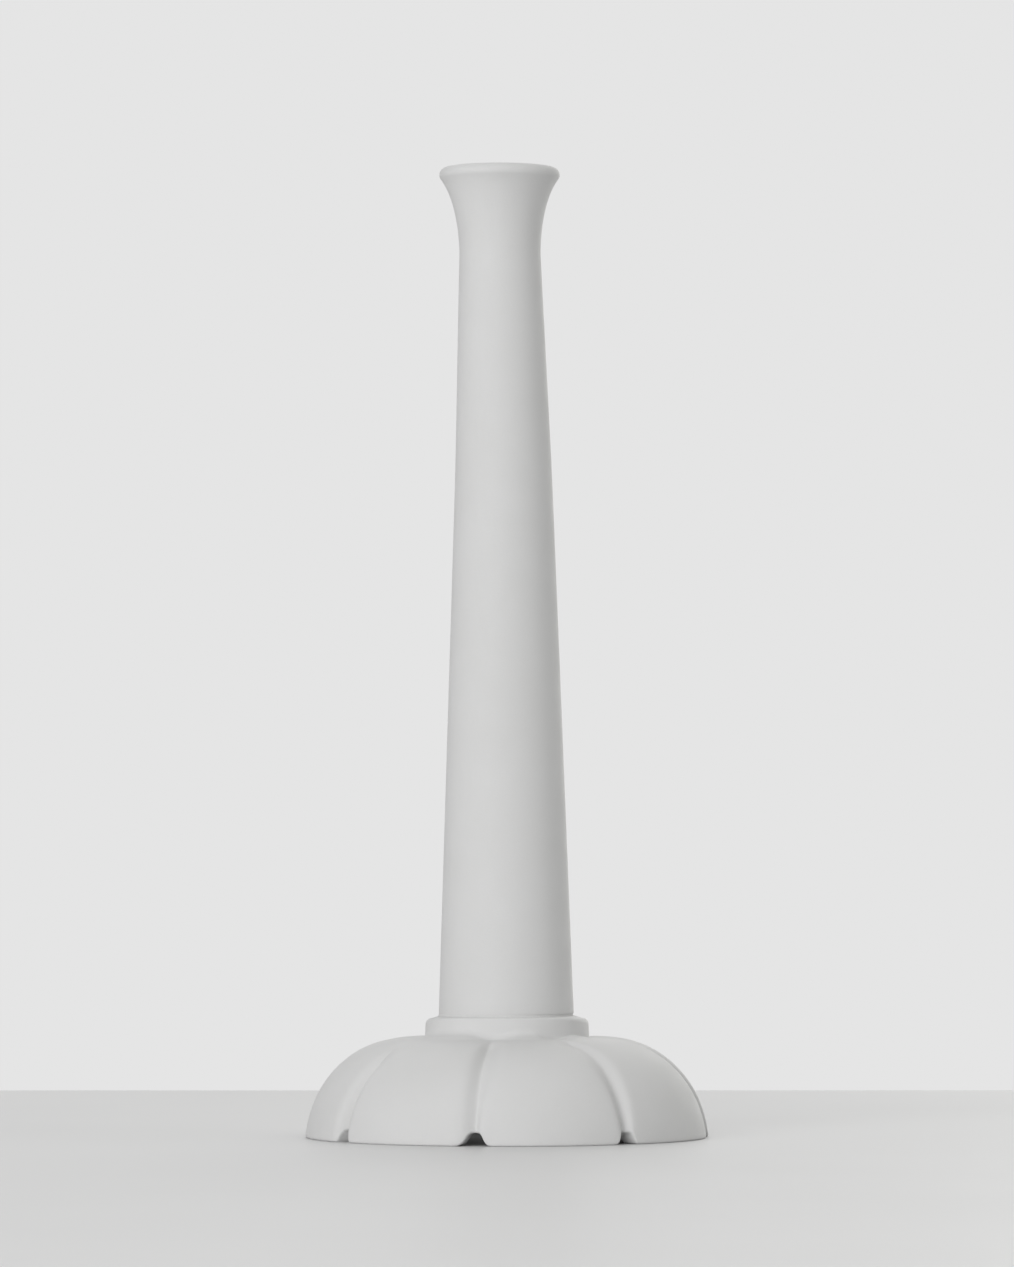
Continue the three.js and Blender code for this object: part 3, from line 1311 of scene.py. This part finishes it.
@dataclass(frozen=True)
class Studio:
    """The table, the pale backdrop and the soft light.

    A very small lamp in the foot's hollow stands for the light that thin porcelain lets through.
    """

    view: Viewpoint
    lamps: tuple[Lamp, ...] = (
        Lamp("front_left_box", -30.0, 12.0, watts=32.1),
        Lamp("front_right_box", 45.0, 45.0, watts=1.8, warmth=0.05),
        Lamp("right_box", 90.0, 45.0, watts=5.4, warmth=0.05),
        Lamp("back_right_box", 150.0, 12.0, watts=13.5, warmth=0.05),
        Lamp("back_box", 180.0, 45.0, watts=9.6),
        Lamp("overhead_box", 0.0, 89.0, watts=2.3, distance=2.0),
    )
    wall_glow: Lamp = Lamp(
        "light_through_the_foot",
        azimuth_degrees=0.0,
        elevation_degrees=90.0,
        watts=0.0005,
        distance=0.018,
        size=0.02,
    )
    aim_height: float = 0.12
    table_edge_row: float = 1090.4
    table_half_width: float = 1.5
    table_depth: float = 2.6
    table_thickness: float = 0.03
    backdrop: Colour = grey(0.783)
    air_light: Colour = grey(1.0)
    air_strength: float = 0.344

    def build_table(self) -> bpy.types.Object:
        """Makes the table, whose back edge is seen level behind the vase.

        Returns:
            The table's object.
        """
        left = self.view.on_table(0.0, self.table_edge_row)
        right = self.view.on_table(self.view.width, self.table_edge_row)
        along = (right - left).normalized()
        back = Vector((-along.y, along.x, 0.0))
        middle = (left + right) / 2.0 - back * (self.table_depth / 2.0)
        board = bmesh.new()
        bmesh.ops.create_cube(board, size=1.0)
        size = (self.table_half_width * 2.0, self.table_depth, self.table_thickness)
        bmesh.ops.scale(board, vec=size, verts=board.verts)
        turn = Matrix((along, back, Vector((0.0, 0.0, 1.0)))).transposed()
        bmesh.ops.rotate(board, cent=(0.0, 0.0, 0.0), matrix=turn, verts=board.verts)
        bmesh.ops.translate(
            board, vec=middle - Vector((0.0, 0.0, self.table_thickness / 2.0)), verts=board.verts
        )
        mesh = bpy.data.meshes.new("table")
        board.to_mesh(mesh)
        board.free()
        mesh.materials.append(Tabletop().material())
        table = bpy.data.objects.new("table", mesh)
        bpy.context.scene.collection.objects.link(table)
        return table

    def build_air(self) -> None:
        """Makes the world: the backdrop where it is seen or mirrored, else an even soft light."""
        world = bpy.data.worlds.new("studio_air")
        world.use_nodes = True
        bpy.context.scene.world = world
        nodes, links = world.node_tree.nodes, world.node_tree.links
        light = nodes["Background"]
        light.inputs["Color"].default_value = self.air_light
        light.inputs["Strength"].default_value = self.air_strength
        seen = nodes.new("ShaderNodeBackground")
        seen.inputs["Color"].default_value = self.backdrop
        path = nodes.new("ShaderNodeLightPath")
        either = nodes.new("ShaderNodeMath")
        either.operation = "MAXIMUM"
        links.new(path.outputs["Is Camera Ray"], either.inputs[0])
        links.new(path.outputs["Is Glossy Ray"], either.inputs[1])
        choice = nodes.new("ShaderNodeMixShader")
        links.new(either.outputs["Value"], choice.inputs["Fac"])
        links.new(light.outputs["Background"], choice.inputs[1])
        links.new(seen.outputs["Background"], choice.inputs[2])
        links.new(choice.outputs["Shader"], nodes["World Output"].inputs["Surface"])

    def build(self) -> None:
        """Makes everything round the vase."""
        self.view.build()
        self.build_table()
        self.build_air()
        target = Vector((0.0, 0.0, self.aim_height))
        for lamp in self.lamps:
            lamp.build(self.view, target)
        self.wall_glow.build(self.view, Vector())
        bpy.context.scene.view_settings.view_transform = "Standard"
        LOG.info("studio ready with %d lamps", len(self.lamps))


def vase_pieces() -> Iterable[Piece]:
    """Sizes the pieces of the vase by the frame.

    Returns:
        The pieces, from the floor up.
    """
    foot, collar, stem = Extent.of("foot"), Extent.of("collar"), Extent.of("stem")
    plug = Extent.of("stem_floor")
    warp = KilnWarp()
    lobed_foot = Foot(extent=foot)
    ring = Collar(
        extent=collar,
        foot_top=foot.top,
        stem_radius=stem.radius,
        gaps=lobed_foot.open_grooves(),
    )
    yield lobed_foot
    yield LowerBed(extent=Extent.of("collar_joint_bed"))
    yield ring
    yield UpperBed(
        extent=Extent.of("stem_joint_bed"),
        stem_radius=stem.radius,
        seat_shift=warp.shift(stem.bottom, stem.bottom),
        ring=ring,
    )
    yield StemFloor(extent=plug, stem_bottom=stem.bottom)
    yield Stem(extent=stem, plug=plug, warp=warp)


def main() -> None:
    """Loads the frame, dresses the vase on it and sets the studio round it."""
    logging.basicConfig(level=logging.INFO, format="%(name)s: %(message)s")
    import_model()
    finishes = {
        Slot.PORCELAIN: Porcelain().material(),
        Slot.JOINT_COMPOUND: JointCompound().material(),
    }
    for piece in vase_pieces():
        piece.build(finishes[piece.slot])
    Studio(Viewpoint()).build()


if __name__ == "__main__":
    main()
